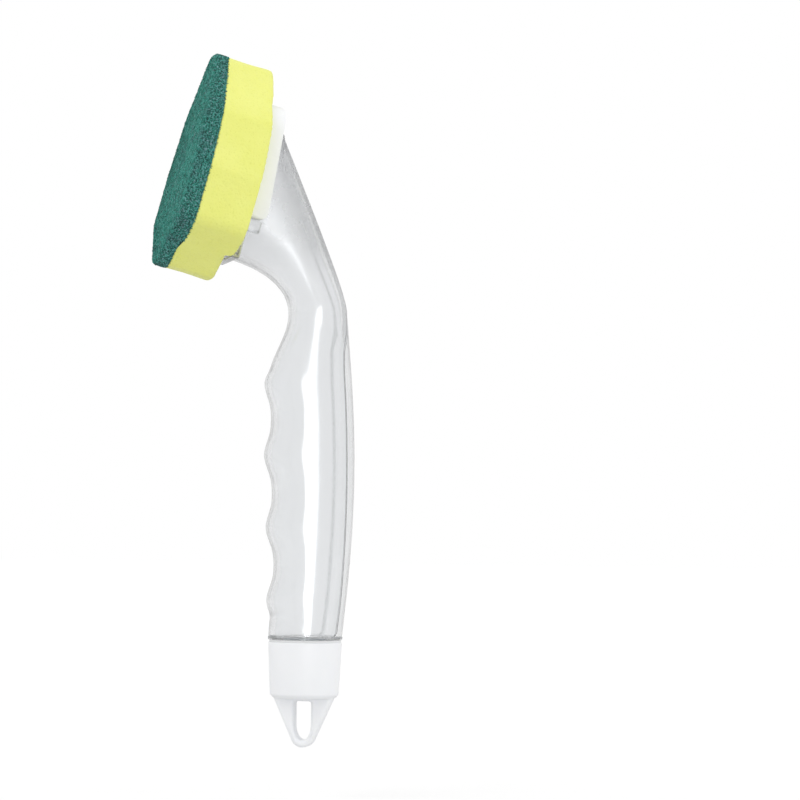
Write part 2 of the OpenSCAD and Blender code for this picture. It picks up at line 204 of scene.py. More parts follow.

# %% [markdown]
# ## Clear moulded styrene
# Handles like this are injection moulded from SAN, a clear stiff styrene plastic with an index of refraction of 1.57.
# The mould is polished, so the walls are glossy, and they swell and sink by a few hundredths of a millimetre, which
# makes reflections wander. The plastic takes a few per cent of the light at each wall, so the places where we look
# through a wall lengthways turn grey. The head's core is less well polished, so it's more hazy, and the head's colour
# is painted a little greyer than the grip's, as painted shade. Lamps shine through it all: for a shadow ray the
# plastic counts as a pale filter.

# %% Clear moulded styrene
HEAD_GREY_FROM, HEAD_GREY_TO = 156, 176
clear_styrene, place = new_material("clear_moulded_styrene")
tree = place.tree
gloss = ranged(noise(place, 6, 4.0), 0.3, 0.7, 0.08, 0.14)
height = new_value(tree, "ShaderNodeSeparateXYZ", "Z", {0: place})
# The head's greyer base colour is painted shade; its extra roughness is the haze of the less polished core.
head_shade_and_haze = ranged(height, HEAD_GREY_FROM * MM, HEAD_GREY_TO * MM, shape="SMOOTHSTEP")
plastic = new_value(tree, "ShaderNodeBsdfPrincipled", "BSDF", {
    "Base Color": blended(head_shade_and_haze, "#fafbfc", "#f5f6f7"), "Roughness": head_shade_and_haze * 0.16 + gloss, "IOR": 1.57,
    "Transmission Weight": 1.0, "Normal": bumped(noise(place, 22, 2.0, 0.4), 0.2, 0.6)})
pale_filter = new_value(tree, "ShaderNodeBsdfTransparent", "BSDF", {"Color": linear("#f0f2f3")})
finished(clear_styrene, new_value(tree, "ShaderNodeMixShader", "Shader", {
    "Fac": is_ray(tree, "Shadow"), 1: plastic, 2: pale_filter}))

# %% [markdown]
# ## Weld line
# The two halves of the handle are welded together by ultrasound. Most of the light crosses the melted joint without
# bending, and tiny bubbles in it scatter the rest, so it shows as a thin grey line. Only the joint's own faces and the
# floor disc's rim have this finish: they let light straight through, as one plastic does, apart from a frosted share
# that a face attribute gives. At the front shell's lower end and on the disc's rim that share is much larger, as
# painted shade of the dark groove where the shell stands on the disc.

# %% Weld line
frosted_weld_and_shade, place = new_material("weld_line_and_painted_shade")
frost_and_shade = new_value(place.tree, "ShaderNodeAttribute", "Fac", attribute_name="frost_and_shade")
principled(frosted_weld_and_shade, blended(noise(place, 0.8, 3.0), "#b0b4b6", "#ccced0"), 0.55, Alpha=frost_and_shade)

# %% [markdown]
# ## White moulded polypropylene
# The cap and the clip are polypropylene, a slightly waxy plastic. Its mould is spark eroded, which leaves a fine satin
# grain, about 0.12 mm from bump to bump. The grain is drawn at 0.3 mm, because a finer one wouldn't show. Light goes a
# little way into the plastic, which softens the shading at thin edges, and the gloss varies slightly from place to
# place, as the mould wears.

# %% White moulded polypropylene
white_polypropylene, place = new_material("white_moulded_polypropylene")
cloud = noise(place, 9, 3.0)
principled(white_polypropylene, blended(cloud, "#f3f5f8", "#fafbfd"), ranged(cloud, 0.3, 0.7, 0.33, 0.43),
           IOR=1.49, Subsurface_Weight=0.15, Subsurface_Radius=(1.0, 1.0, 0.9), Subsurface_Scale=0.8 * MM,
           Normal=bumped(noise(place, 0.3, 2.0), 0.25, 0.02))

# %% [markdown]
# ## Silicone
# The washer and the soap valve are pressed from milky silicone rubber, with an index of refraction of 1.41. It is matt
# with a soft sheen, and its surface carries the mould's faint unevenness.

# %% Silicone
milky_silicone, place = new_material("milky_pressed_silicone")
cloud = noise(place, 3, 3.0)
principled(milky_silicone, blended(cloud, "#f1f2f3", "#fafafb"), 0.55, IOR=1.41, Subsurface_Weight=0.3,
           Subsurface_Radius=(1.0, 1.0, 1.0), Subsurface_Scale=1.2 * MM, Normal=bumped(cloud, 0.3, 0.05))

# %% [markdown]
# ## Cellulose foam
# The sponge is a yellow foam with open cells of about 0.6 to 1.2 mm. A cell's mouth is painted darker than the skin
# between the cells, as painted shade inside the cell, and the dye is uneven over a few millimetres. The large pores
# are real dents in the mesh, made further down, and this material adds the fine ones as bump.

# %% Cellulose foam
yellow_foam, place = new_material("yellow_open_cell_foam")
to_middle = new_value(place.tree, "ShaderNodeTexVoronoi", "Distance", {
    "Vector": place, "Scale": 1 / (0.75 * MM), "Randomness": 1.0}, feature="SMOOTH_F1")
dyed = blended(noise(place, 14, 3.0), "#e7ea7a", "#f2f592")
pitted = bumped(to_middle, 0.45, 0.25)
# The darker cell mouths in this blend are painted shade.
principled(yellow_foam, blended(ranged(to_middle, 0.0, 0.32, 0.3, 0.0), dyed, "#cfd257"), 0.9,
           Specular_IOR_Level=0.2, Sheen_Weight=0.15, Sheen_Roughness=0.5, Subsurface_Weight=0.2,
           Subsurface_Radius=(1.0, 0.9, 0.35), Subsurface_Scale=1.5 * MM,
           Normal=bumped(noise(place, 0.4, 3.0), 0.3, 0.1, Normal=pitted))

# %% [markdown]
# ## Scrub web
# The green layer is a non-woven web: crimped nylon fibres bonded with a green resin that carries purplish grey grit.
# The fibres themselves are geometry, and each carries its own tone as an attribute, from 0 for the dark depth of the
# web to 1 for a fibre that catches the light. A coarse noise stands for the patches where the resin is thick, and
# small cells of 0.8 mm for grains of grit. A fine noise of 0.6 mm adds the pale ends of cut fibres and painted shade
# in the gaps between fibres. Both are strongest on the cut edge, where the knife has opened the web, which a "cut"
# attribute marks.

# %% Scrub web
green_web, place = new_material("green_bonded_fibre_web")
tree = place.tree
tone, cut = (new_value(tree, "ShaderNodeAttribute", "Fac", attribute_name=name) for name in ("tone", "cut"))
fibre = add_node(tree, "ShaderNodeValToRGB", {"Fac": tone})
stops = fibre.color_ramp.elements
stops[0].color, stops[1].color = linear("#1a6054"), linear("#72c2b8")
stops.new(0.45).color = linear("#34a08f")
grains = new_value(tree, "ShaderNodeTexVoronoi", "Distance", {"Vector": place, "Scale": 1 / (0.8 * MM)})
threads = noise(place, 0.6, 3.0, 0.7)
much = ranged(cut, 0.0, 1.0, 0.35, 1.0)
shade = fibre.outputs["Color"]
# The third blend paints shade into the gaps between fibres.
for share, colour in ((ranged(noise(place, 5, 4.0), 0.5, 0.72, 0.0, 0.5), "#4b6f75"),
                      (ranged(grains, 0.12, 0.24, 0.6, 0.0), "#7d8296"),
                      (ranged(threads, 0.42, 0.54, 1.0, 0.0) * much, "#12403a"),
                      (ranged(threads, 0.56, 0.66) * much, "#8593a4")):
    shade = blended(share, shade, colour)
principled(green_web, shade, 0.62, IOR=1.53, Specular_IOR_Level=0.35, Normal=bumped(grains, 0.5, 0.2))

# %% [markdown]
# ## Outlines
# The moulded parts start as flat outlines in millimetres, as they would be drawn for a mould maker: boxes and circles,
# with corners rounded each by its own radius. Stitching turns a stack of outlines into the faces of a wall.

# %% Outlines
def box(left, low, right, high):
    return [(left, low), (right, low), (right, high), (left, high)]


def circle(radius):
    return [(radius * cos(a), radius * sin(a)) for a in np.linspace(0, 2 * pi, 65)[:-1]]


def unit(vectors):
    return vectors / np.linalg.norm(vectors, axis=-1, keepdims=True)


def evenly(line, count, endpoint=True):
    """Points at even distances along a line. A fourth column is carried along."""
    length = np.concatenate([[0], np.cumsum(np.linalg.norm(np.diff(line[:, :3], axis=0), axis=1))])
    even = np.linspace(0, length[-1], count, endpoint=endpoint)
    return np.column_stack([np.interp(even, length, column) for column in line.T])


def rounded(corners, radii, steps=5):
    """A closed outline whose corners are rounded, each by its own radius."""
    outline = []
    for i, corner in enumerate(corners):
        here, before, after = (np.array(corners[k % len(corners)], float) for k in (i, i - 1, i + 1))
        if radii[i] == 0:
            outline.append(tuple(here))
            continue
        toward, away = unit(before - here), unit(after - here)
        half = acos(np.clip(toward @ away, -1, 1)) / 2
        centre = here + unit(toward + away) * radii[i] / sin(half)
        start, stop = (here + d * radii[i] / tan(half) - centre for d in (toward, away))
        swing = atan2(start[0] * stop[1] - start[1] * stop[0], start @ stop)
        for a in np.linspace(0, swing, steps + 1):
            outline.append((centre[0] + start[0] * cos(a) - start[1] * sin(a),
                            centre[1] + start[0] * sin(a) + start[1] * cos(a)))
    return outline


def stitched(rows, n):
    """The faces between closed rows of n points each."""
    return [(i * n + j, i * n + (j + 1) % n, (i + 1) * n + (j + 1) % n, (i + 1) * n + j)
            for i in range(rows - 1) for j in range(n)]


print("a box with rounded corners has", len(rounded(box(0, 0, 1, 1), [0.2] * 4)), "points")

# %% [markdown]
# ## Making meshes
# A few helpers turn outlines into solids: one makes an object from points, one bakes its modifiers into its mesh, two
# make a plate or a turned part from an outline, and one joins or cuts closed solids. Clear plastic needs true closed
# walls, because a ray bends where it enters and where it leaves, so parts of one moulding are joined into one skin
# instead of being left to overlap.

# %% Helpers for meshes
SOFT_BELOW = 35


def face_outwards(mesh):
    """Merges doubled points, and turns every face of a closed mesh to the outside."""
    form = bmesh.new()
    form.from_mesh(mesh)
    bmesh.ops.remove_doubles(form, verts=form.verts, dist=1e-7)
    bmesh.ops.recalc_face_normals(form, faces=form.faces)
    form.to_mesh(mesh)
    form.free()


def new_piece(name, points, faces, material, sharp=SOFT_BELOW):
    """An object from points in millimetres, with its faces outwards and soft shading below the sharp angle."""
    mesh = bpy.data.meshes.new(name)
    mesh.from_pydata((np.asarray(points, float) * MM).tolist(), [], faces)
    face_outwards(mesh)
    mesh.materials.append(material)
    piece = bpy.data.objects.new(name, mesh)
    bpy.context.scene.collection.objects.link(piece)
    soften(piece, sharp)
    return piece


def soften(piece, sharp=SOFT_BELOW):
    piece.data.shade_smooth()
    piece.data.set_sharp_from_angle(angle=radians(sharp))


def bake_modifiers(piece, sharp=SOFT_BELOW):
    bpy.context.view_layer.update()
    evaluated = piece.evaluated_get(bpy.context.evaluated_depsgraph_get())
    baked = bpy.data.meshes.new_from_object(evaluated)
    piece.modifiers.clear()
    piece.data = baked
    soften(piece, sharp)
    return piece


def bevelled(piece, width, segments=3, angle=40):
    edge = piece.modifiers.new("rounded_edges", "BEVEL")
    edge.width, edge.segments, edge.limit_method, edge.angle_limit = width * MM, segments, "ANGLE", radians(angle)
    return bake_modifiers(piece)


def open_edges(piece):
    form = bmesh.new()
    form.from_mesh(piece.data)
    count = sum(not edge.is_manifold for edge in form.edges)
    form.free()
    return count


def combined(piece, others, operation="UNION", sharp=SOFT_BELOW):
    """Joins the others to the piece, or cuts them out of it, and removes them. An open mesh would be left as it is."""
    for solid in (piece, *others):
        if open_edges(solid):
            raise RuntimeError(f"{solid.name} has {open_edges(solid)} open edges")
    for other in others:
        step = piece.modifiers.new(operation.lower(), "BOOLEAN")
        step.operation, step.solver, step.object = operation, "MANIFOLD", other
    bake_modifiers(piece, sharp)
    for other in others:
        bpy.data.objects.remove(other)
    return piece


def store(piece, name, kind, domain, values):
    piece.data.attributes.new(name, kind, domain).data.foreach_set("value", values)


def triangles(piece):
    return sum(len(face.vertices) - 2 for face in piece.data.polygons)


def print_size(piece):
    print(piece.name, "has", triangles(piece), "triangles")


def prism(name, outline, low, high, material):
    """A solid from a flat outline of [x, y] points, between two heights."""
    n = len(outline)
    points = [(x, y, z) for z in (low, high) for x, y in outline]
    return new_piece(name, points, [tuple(range(n)), tuple(range(n, 2 * n)), *stitched(2, n)], material)


def lathed(name, profile, material, steps=128, sharp=SOFT_BELOW):
    """A closed outline of [radius, z] points turned round the cap's axis."""
    n = len(profile)
    points = [(r * cos(a), r * sin(a), z)
              for a in np.linspace(0, 2 * pi, steps, endpoint=False) for r, z in profile]
    faces = [(i * n + j, i * n + (j + 1) % n, (i + 1) % steps * n + (j + 1) % n, (i + 1) % steps * n + j)
             for i in range(steps) for j in range(n) if profile[j][0] + profile[(j + 1) % n][0] > 0]
    return new_piece(name, points, faces, material, sharp)


print("edges are shaded softly below", SOFT_BELOW, "degrees")

# %% [markdown]
# ## The head's frame
# The head leans 15 degrees forward. Its parts are easiest to draw lying flat, with x across, u along the sponge and w
# out of the scrub face, and are then turned into place as one. The sizes are the CAD model's own.

# %% Sizes and the head's frame
HEAD_TILT = radians(15)
HEAD_REACH = 26.6
SLOT_W, SLOT_H, LOOP_WEB, LOOP_T, LOOP_ROOT_W = 6.4, 14, 2.6, 8, 22.4
LOOP_TURN = radians(22)
CAP_LOW_Z, CAP_TOP_Z, CAP_D, CAP_LOW_D, CAP_FLOOR = 8.1, 28.3, 26.6, 24.8, 2.4
CAP_BORE_R = 10.8
FLOOR_LOW_Z, FLOOR_TOP_Z, GRIP_L = 29.1, 30.3, 115.7
THROAT_Z = FLOOR_TOP_Z + GRIP_L
HEAD_Z = THROAT_Z + 49.7
MOUTH_LOW, MOUTH_HIGH, MOUTH_W, MOUTH_T = 29.8, 21, 30, 2.7
FLANGE_W, FLANGE_ENDS = 34.4, 1.2
BASE_T, SLIDE_GAP = 2, 0.3
MOUTH_V = BASE_T + SLIDE_GAP
MOUTH_BACK_V = MOUTH_V + MOUTH_T


def stand_up(piece):
    """Turns a piece that was drawn flat in the head's frame into its place."""
    place = Matrix.Translation(Vector((0, -HEAD_REACH, HEAD_Z)) * MM) @ Euler(
        (pi / 2 - HEAD_TILT, 0, 0)).to_matrix().to_4x4()
    piece.data.transform(place)
    return piece


def head_plate(name, outline, from_v, to_v, material):
    """A plate between two distances behind the foam's back, still lying flat."""
    return prism(name, outline, -to_v, -from_v, material)


print("head's middle in mm:", (0, -HEAD_REACH, HEAD_Z))

# %% [markdown]
# ## The handle's rings
# The clear handle is a stack of rings, each with a front point, a back point, a width and a roundness. It runs
# straight up the grip, then fans out and leans forward into the head. The rings here are the CAD model's, four times
# as many, so that the walls are smooth enough to look through, and finer still near the floor, where the seam turns
# its corner. The points of a ring are spaced evenly along its outline, which keeps the long narrow triangles away that
# would show as streaks in a reflection.

# %% Rings of the handle
HANDLE_R, GRIP_W, THROAT_W, WALL = 13.3, 25.8, 24, 2.0
FRONT_PINCH, FRONT_SWELL, BACK_BULGE = 0.6, 2.1, 3.6
THROAT_FRONT, THROAT_BACK = 7.9, 13.1
TIP_BACK, TIP_DROP, BACK_LEAN = 10.6, 3.4, radians(23.2)
SEAM_GRIP, SEAM_HEAD = 48, 30
SEAM_CORNER = 2.2
THROAT_FRONT_PULL, MOUTH_PULL, MOUTH_RUN = 10.4, 14.1, radians(17)
THROAT_BACK_PULL, TIP_PULL, TIP_STARTS_AT = 4.5, 57, 0.86


def smooth(t):
    t = min(max(t, 0), 1)
    return t * t * (3 - 2 * t)


def mix(a, b, t):
    return a + (b - a) * t


def bezier(a, b, c, d, t):
    s = 1 - t
    return a * s ** 3 + b * 3 * s * s * t + c * 3 * s * t * t + d * t ** 3


def head_point(u, v):
    return np.array([-HEAD_REACH + u * sin(HEAD_TILT) + v * cos(HEAD_TILT),
                     HEAD_Z + u * cos(HEAD_TILT) - v * sin(HEAD_TILT)])


def grip_ring(g):
    """Front point, back point, half width, roundness and the seam's angle at the share g of the grip's length."""
    z = FLOOR_TOP_Z + g * GRIP_L
    front = (HANDLE_R - FRONT_PINCH * smooth(g / 0.1) + FRONT_SWELL * smooth((g - 0.1) / 0.6)
             - (HANDLE_R - FRONT_PINCH + FRONT_SWELL - THROAT_FRONT) * smooth((g - 0.8) / 0.2))
    back = mix(HANDLE_R, THROAT_BACK, g) + BACK_BULGE * sin(pi * g)
    half_w = mix(mix(HANDLE_R, GRIP_W / 2, smooth(g / 0.15)), THROAT_W / 2, smooth((g - 0.7) / 0.3))
    seam = mix(SEAM_GRIP, SEAM_HEAD, smooth((g - 0.88) / 0.12))
    above = SEAM_CORNER - min(g * GRIP_L, SEAM_CORNER)
    seam += degrees((SEAM_CORNER - sqrt(SEAM_CORNER ** 2 - above ** 2)) / HANDLE_R)
    return np.array([-front, z]), np.array([back, z]), half_w, mix(2, 2.2, smooth(g / 0.15)), seam


def fan_ring(t):
    throat_f, throat_b = np.array([-THROAT_FRONT, THROAT_Z]), np.array([THROAT_BACK, THROAT_Z])
    mouth_f, tip_u = head_point(-MOUTH_LOW, MOUTH_BACK_V), MOUTH_HIGH - TIP_DROP
    tip = head_point(tip_u, TIP_BACK)
    front = bezier(throat_f, throat_f + [0, THROAT_FRONT_PULL],
                   mouth_f + MOUTH_PULL * np.array([cos(MOUTH_RUN), -sin(MOUTH_RUN)]), mouth_f, t)
    if t < TIP_STARTS_AT:
        lean = np.array([sin(BACK_LEAN), -cos(BACK_LEAN)])
        back = bezier(throat_b, throat_b + [0, THROAT_BACK_PULL], tip + TIP_PULL * lean, tip, t / TIP_STARTS_AT)
    else:
        a = pi / 2 * (t - TIP_STARTS_AT) / (1 - TIP_STARTS_AT)
        back = head_point(tip_u + TIP_DROP * sin(a), MOUTH_BACK_V + (TIP_BACK - MOUTH_BACK_V) * cos(a))
    return front, back, mix(THROAT_W, MOUTH_W, smooth(t)) / 2, mix(2.2, 2.8, smooth(t)), SEAM_HEAD


def arc(ring, start, stop, inset, count):
    """Evenly spaced points of a ring between two angles from the back, and how much each leans on the front."""
    front, back, half_w, power, _ = ring
    angle = np.radians(np.linspace(start, stop, 361))
    c, s = np.cos(angle), np.sin(angle)
    span = back - front
    half = np.linalg.norm(span) / 2
    deep = np.sign(c) * np.abs(c) ** (2 / power) * (half - inset)
    wide = np.sign(s) * np.abs(s) ** (2 / power) * (half_w - inset)
    middle, direction = (front + back) / 2, span / (2 * half)
    line = np.column_stack([wide, middle[0] + direction[0] * deep, middle[1] + direction[1] * deep])
    lean = np.clip((-np.sign(c) * np.abs(c) ** (2 / power) - 0.2) / 0.8, 0, 1)
    even = evenly(np.column_stack([line, lean * lean * (3 - 2 * lean)]), count)
    return even[:, :3], even[:, 3]


FINE_H = 2.4
near_floor = np.linspace(0, FINE_H, 9)[:-1] / GRIP_L
grip_rings = [grip_ring(g) for g in (*near_floor, *np.linspace(FINE_H / GRIP_L, 1, 150))]
fan_rings = [fan_ring(t) for t in np.linspace(0, 1, 66)[1:]]
print(len(grip_rings), "rings on the grip and", len(fan_rings), "on the head")

# %% [markdown]
# ## Skin over the rings
# Each shell is a strip of the wall: out along the outside, round a small rounded edge, and back along the inside. The
# rings' strips are stitched together and closed at both ends. Between the shells there is a weld line, 0.06 mm wide,
# which is what the photograph shows as a fine grey line just inside the back's outline.

# %% Skin over the rings
EDGE_ROUND = 0.12
HALF_WELD = 0.03
# The seam's value is the weld's own frost. The lower end's and the rim's much larger values are painted shade of the
# dark groove where the front shell stands on the floor disc.
SEAM_FROST, END_FROST_AND_SHADE, RIM_FROST_AND_SHADE = 0.18, 0.8, 0.6


def inner_angle(ring, angle):
    """The angle at which the inner wall is as far back as the outer wall is at the given angle."""
    front, back, _, power, _ = ring
    half = np.linalg.norm(back - front) / 2
    seam = abs(angle) if abs(angle) < 180 else 360 - angle
    depth = cos(radians(seam)) ** (2 / power) * half
    inner = degrees(acos(min(depth / (half - WALL), 0.97) ** (power / 2)))
    return copysign(inner, angle) if abs(angle) < 180 else 360 - inner


def wall_strip(ring, start, stop, count):
    """The closed outline of one ring's wall with rounded edges, and each point's lean on the front."""
    per_degree = pi / 180 * HANDLE_R
    start, stop = start + HALF_WELD / per_degree, stop - HALF_WELD / per_degree
    trim = EDGE_ROUND / per_degree
    inner_start, inner_stop = inner_angle(ring, start), inner_angle(ring, stop)
    outside, lean_out = arc(ring, start + trim, stop - trim, 0, count)
    inside, lean_in = arc(ring, inner_stop - trim, inner_start + trim, WALL, count)
    corners = [arc(ring, a, a + 0.01, inset, 2)[0][0] for a, inset in
               ((stop, 0), (inner_stop, WALL), (inner_start, WALL), (start, 0))]

    def turn_edge(before, first, second, after):
        inward = unit(second - first) * EDGE_ROUND
        half = [0.25 * p + 0.5 * q + 0.25 * r for p, q, r in
                ((before, first, first + inward), (second - inward, second, after))]
        return [half[0], first + inward, second - inward, half[1]]

    far = turn_edge(outside[-1], corners[0], corners[1], inside[0])
    near = turn_edge(inside[-1], corners[2], corners[3], outside[0])
    lean = np.concatenate([lean_out, [lean_out[-1]] * 2, [lean_in[0]] * 2, lean_in, [lean_in[-1]] * 2,
                           [lean_out[0]] * 2])
    return np.vstack([outside, far, inside, near]), lean


def skin(name, strips, count):
    """Stitches closed outlines that each run out along one side and back along the other."""
    n = len(strips[0][0])
    points = np.vstack([s[0] for s in strips])
    faces = stitched(len(strips), n)
    sides = len(faces)
    order = [n - 2, n - 1, *range(count + 2)]
    back = [n - 3, n - 4, *range(2 * count + 3, count + 1, -1)]
    for base in (0, sides):
        faces += [(base + order[k], base + order[k + 1], base + back[k + 1], base + back[k])
                  for k in range(len(order) - 1)]
    piece = new_piece(name, points, faces, clear_styrene)
    piece.data.materials.append(frosted_weld_and_shade)
    welded = [k >= sides or k % n in (count + 1, 2 * count + 5) for k in range(len(faces))]
    store(piece, "welded", "BOOLEAN", "FACE", welded)
    store(piece, "frost_and_shade", "FLOAT", "FACE", [SEAM_FROST if k < sides else END_FROST_AND_SHADE for k in range(len(faces))])
    piece.data.polygons.foreach_set("material_index", [int(w) for w in welded])
    return piece, np.concatenate([s[1] for s in strips])


FRONT_COUNT, BACK_COUNT = 97, 33
INTO_MOUTH_WALL, INTO_FLOOR, UNDER_WELD, BEHIND_WELD = 1.2, 0.8, 0.2, 0.08
mouth_step = INTO_MOUTH_WALL * np.array([-cos(HEAD_TILT), sin(HEAD_TILT)])


def moved(strip, step):
    return strip[0] + [0, step[0], step[1]], strip[1]


front_strips = [wall_strip(r, r[4], 360 - r[4], FRONT_COUNT) for r in grip_rings + fan_rings]
front_strips[0] = moved(front_strips[0], (0, UNDER_WELD))
front_strips.append(moved(front_strips[-1], mouth_step))
front_wall, front_lean = skin("front_wall", front_strips, FRONT_COUNT)
back_strips = [wall_strip(r, -r[4], r[4], BACK_COUNT) for r in grip_rings + fan_rings]
back_strips[-1] = moved(back_strips[-1], -BEHIND_WELD * mouth_step)
back_strips.insert(0, moved(back_strips[0], (0, -INTO_FLOOR)))
back_wall, back_lean = skin("back_wall", back_strips, BACK_COUNT)
print_size(front_wall)
print_size(back_wall)

# %% [markdown]
# ## Finger grooves
# The grip's front follows a rule: crests 26.1 mm apart with a hollow for a finger between each two, faded out at both
# ends. That is a wave along the height, so a small Geometry Nodes tree makes it. It moves each point forward or back
# by the wave, times how much the point leans on the front, which the mesh carries as an attribute. Its inputs are
# named, so that the grooves can be made deeper or wider apart without touching the mesh.

# %% Finger grooves with Geometry Nodes
SOCKET_KINDS = {float: "NodeSocketFloat", int: "NodeSocketInt", bpy.types.Material: "NodeSocketMaterial"}


def new_geometry_tree(name, inputs):
    """A node group with Geometry in and out and one named input for each value, and a function that reads an input."""
    group = bpy.data.node_groups.new(name, "GeometryNodeTree")
    group.interface.new_socket("Geometry", in_out="INPUT", socket_type="NodeSocketGeometry")
    for label, value in inputs.items():
        group.interface.new_socket(label, in_out="INPUT", socket_type=SOCKET_KINDS[type(value)])
    group.interface.new_socket("Geometry", in_out="OUTPUT", socket_type="NodeSocketGeometry")
    entry = add_node(group, "NodeGroupInput")
    return group, lambda label: Value(group, entry.outputs[label])


def hand_out(given, geometry, selection=True):
    """Paints the geometry with the given material and makes it the tree's output."""
    painted = new_value(geometry.tree, "GeometryNodeSetMaterial", 0, {
        "Geometry": geometry, "Selection": selection, "Material": given("Material")})
    add_node(geometry.tree, "NodeGroupOutput", {0: painted})


def part_of_vector(vector, axis):
    return new_value(vector.tree, "ShaderNodeSeparateXYZ", axis, {0: vector})


def shifted(geometry, **how):
    return new_value(geometry.tree, "GeometryNodeSetPosition", 0, {"Geometry": geometry, **how})


def vector_of(**parts):
    return new_value(next(iter(parts.values())).tree, "ShaderNodeCombineXYZ", 0, parts)


def named(tree, name, kind):
    return new_value(tree, "GeometryNodeInputNamedAttribute", "Attribute", {"Name": name}, data_type=kind)


def run_geometry_tree(piece, group, inputs, sharp=SOFT_BELOW):
    """Runs the tree on the piece with its inputs set by the sockets' identifiers, and bakes the result."""
    modifier = piece.modifiers.new(group.name, "NODES")
    modifier.node_group = group
    names = {item.name: item.identifier for item in group.interface.items_tree
             if item.item_type == "SOCKET" and item.in_out == "INPUT"}
    for label, value in inputs.items():
        modifier[names[label]] = value
    return bake_modifiers(piece, sharp)


groove_inputs = {"Groove Pitch": 26.1 * MM, "Groove Depth": 2.6 * MM, "First Crest": 12.7 * MM, "Crests": 4,
                 "Floor": FLOOR_TOP_Z * MM, "Fade": 8.0 * MM, "Material": clear_styrene}
tree, given = new_geometry_tree("finger_grooves", groove_inputs)
crest, pitch = given("First Crest"), given("Groove Pitch")
place = new_value(tree, "GeometryNodeInputPosition", 0)
height = part_of_vector(place, "Z") - given("Floor")
turn_angle = (height - crest) / pitch * (2 * pi)
wave = turn_angle.math("COSINE") + (turn_angle * 2.0).math("COSINE") * 0.15
rise = ranged(height, crest / 3.0, crest / 3.0 + crest / 2.0, shape="SMOOTHSTEP")
last_crest = crest + (given("Crests") - 1.0) * pitch
fall = ranged(height, last_crest, last_crest + given("Fade"), 1.0, 0.0, "SMOOTHSTEP")
size = rise * fall * (named(tree, "lean", "FLOAT") * (given("Groove Depth") * -0.5))
shaped = shifted(given("Geometry"), Offset=vector_of(Y=wave * size))
clear_face = new_value(tree, "FunctionNodeBooleanMath", 0, {0: named(tree, "welded", "BOOLEAN")}, operation="NOT")
hand_out(given, shaped, clear_face)

for wall, lean_values in ((front_wall, front_lean), (back_wall, back_lean)):
    store(wall, "lean", "FLOAT", "POINT", lean_values.astype(np.float32))
    run_geometry_tree(wall, tree, groove_inputs)
print("grooves:", len(tree.nodes), "nodes, front now reaches",
      round(min(v.co.y for v in front_wall.data.vertices if v.co.z < THROAT_Z * MM) / MM, 2), "mm")

# %% [markdown]
# ## Mouth wall, flange and stop ribs
# The head is closed by a wall with the outlet hole in it. The wall stands out on both sides as the flange that a
# refill slides on, a lip below the refill fills the gap behind the foam, and two small ribs stop the refill. They are
# one moulding with the front shell, so plates with softened edges are joined to it, and the hole is cut out.

# %% Mouth wall of the front shell
def round_top(w, low, high, corner, low_corner=0.0):
    return rounded(box(-w / 2, low, w / 2, high), [low_corner, low_corner, corner, corner], steps=14)


HOLDER_CORNER, HOLDER_LOW, LIP_V, STOP_RIB_H, STOP_RIB_W, OUTLET_D = 9, 15.6, 5.3, 4.3, 1.8, 12
flange = stand_up(bevelled(head_plate("flange", round_top(
    FLANGE_W, -MOUTH_LOW - FLANGE_ENDS, MOUTH_HIGH + FLANGE_ENDS, HOLDER_CORNER - SLIDE_GAP, 1.5),
    MOUTH_V, MOUTH_BACK_V, clear_styrene), 0.4))
ribs = []
for side in (-1, 1):
    x, u = side * (MOUTH_W / 2 - 0.3), -HOLDER_LOW - SLIDE_GAP - STOP_RIB_H / 2
    outline = box(x - STOP_RIB_W / 2, u - STOP_RIB_H / 2, x + STOP_RIB_W / 2, u + STOP_RIB_H / 2)
    ribs.append(stand_up(bevelled(head_plate("rib", outline, LIP_V, LIP_V + STOP_RIB_H, clear_styrene), 0.35)))
outlet = stand_up(head_plate("outlet", circle(OUTLET_D / 2), MOUTH_V - 1, MOUTH_BACK_V + 1, clear_styrene))
front_wall.name = "grip_front"
LIP_GAP, LIP_INSET, RIM_ROUND = 0.2, 0.4, 0.45
lip_w, lip_low, lip_high = FLANGE_W / 2 - LIP_INSET, -MOUTH_LOW - FLANGE_ENDS + LIP_INSET, -HOLDER_LOW - SLIDE_GAP
lip = stand_up(bevelled(head_plate("lip", rounded(
    box(-lip_w, lip_low, lip_w, lip_high), [1.3, 1.3, 0.5, 0.5]),
    LIP_GAP, MOUTH_V + MOUTH_T / 2, clear_styrene), 0.3))
combined(front_wall, [flange, lip, *ribs])
combined(front_wall, [outlet], "DIFFERENCE")
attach(front_wall, "handle")
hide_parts("front_shell")
print_size(front_wall)

# %% [markdown]
# ## Thread ridges
# The spout's two-start thread is a ridge that follows a helix, and so is the one inside the cap. A helix is a rule, so
# a Geometry Nodes tree makes both: it winds a long square bar round the axis, narrows the bar's outer side, lets its
# ends run out into the wall, and repeats it once for each start. The cap's ridges point inwards and sit half a pitch
# higher, which is only a matter of other inputs.

# %% Thread ridges with Geometry Nodes
THREAD_LEAD, THREAD_STARTS, THREAD_H = 8, 2, 0.9
SPOUT_R, SPOUT_BORE, SPOUT_LOW_Z, RIDGE_TURNS = 9.6, 16, 16.4, 0.8
RIDGE_ROOT_W, RIDGE_CREST_W = 1.6, 1.0


def ridge_inputs(root_r, crest_r, low_z, material):
    lengths = {"Root Radius": root_r, "Crest Radius": crest_r, "Low End": low_z, "Lead": THREAD_LEAD,
               "Root Width": RIDGE_ROOT_W, "Crest Width": RIDGE_CREST_W}
    inputs = {label: value * MM for label, value in lengths.items()}
    return inputs | {"Turns": RIDGE_TURNS, "Starts": THREAD_STARTS, "Material": material}


